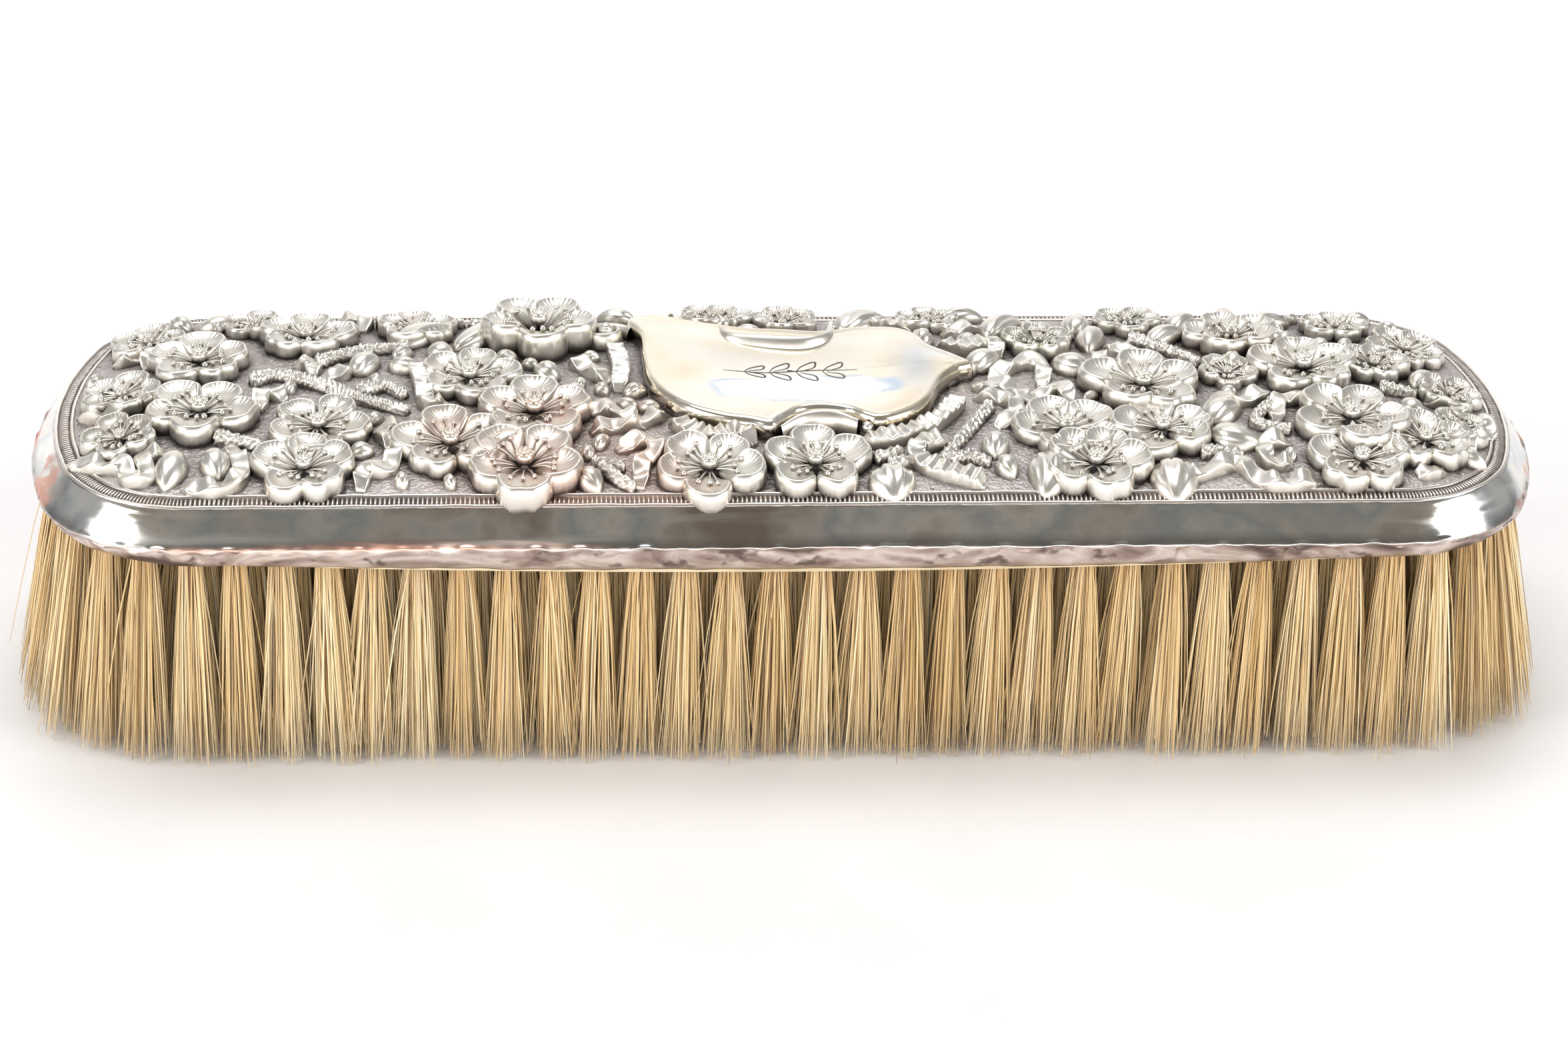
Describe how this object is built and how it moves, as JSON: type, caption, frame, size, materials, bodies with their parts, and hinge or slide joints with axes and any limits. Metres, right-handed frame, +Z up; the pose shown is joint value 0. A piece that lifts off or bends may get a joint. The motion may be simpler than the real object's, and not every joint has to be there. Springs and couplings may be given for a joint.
{
  "type": "clothes brush",
  "caption": "Silver-backed clothes brush without a handle: embossed metal back turned over a drilled wooden stock with drawn natural bristle tufts.",
  "frame": {"origin": "on the ground under the centre of the brush, at the plane of the trimmed bristle tips", "axes": "+X along the brush, +Y across it to the back, +Z up out of the silver back"},
  "size_m": [0.1838, 0.0564, 0.0373],
  "materials": {
    "silver": "polished silver with warm patina and dark oxidised ground",
    "pitch": "black pitch cement",
    "board": "raw thin board",
    "stock_wood": "satin oiled wood",
    "bristle": "pale natural bristle",
    "wire": "drawn brass wire"
  },
  "bodies": {
    "root": {"silver_shell": "silver", "pitch_filling": "pitch", "cover_board": "board", "bristle_stock": "stock_wood", "tufts_ring": "bristle", "draw_wire_ring": "wire", "tufts_row_1": "bristle", "tufts_row_2": "bristle", "tufts_row_3": "bristle", "tufts_row_4": "bristle", "tufts_row_5": "bristle", "tufts_row_6": "bristle", "tufts_row_7": "bristle", "tufts_row_8": "bristle", "tufts_row_9": "bristle", "draw_wire_row_1": "wire", "draw_wire_row_2": "wire", "draw_wire_row_3": "wire", "draw_wire_row_4": "wire", "draw_wire_row_5": "wire", "draw_wire_row_6": "wire", "draw_wire_row_7": "wire", "draw_wire_row_8": "wire", "draw_wire_row_9": "wire"}
  },
  "joints": []
}
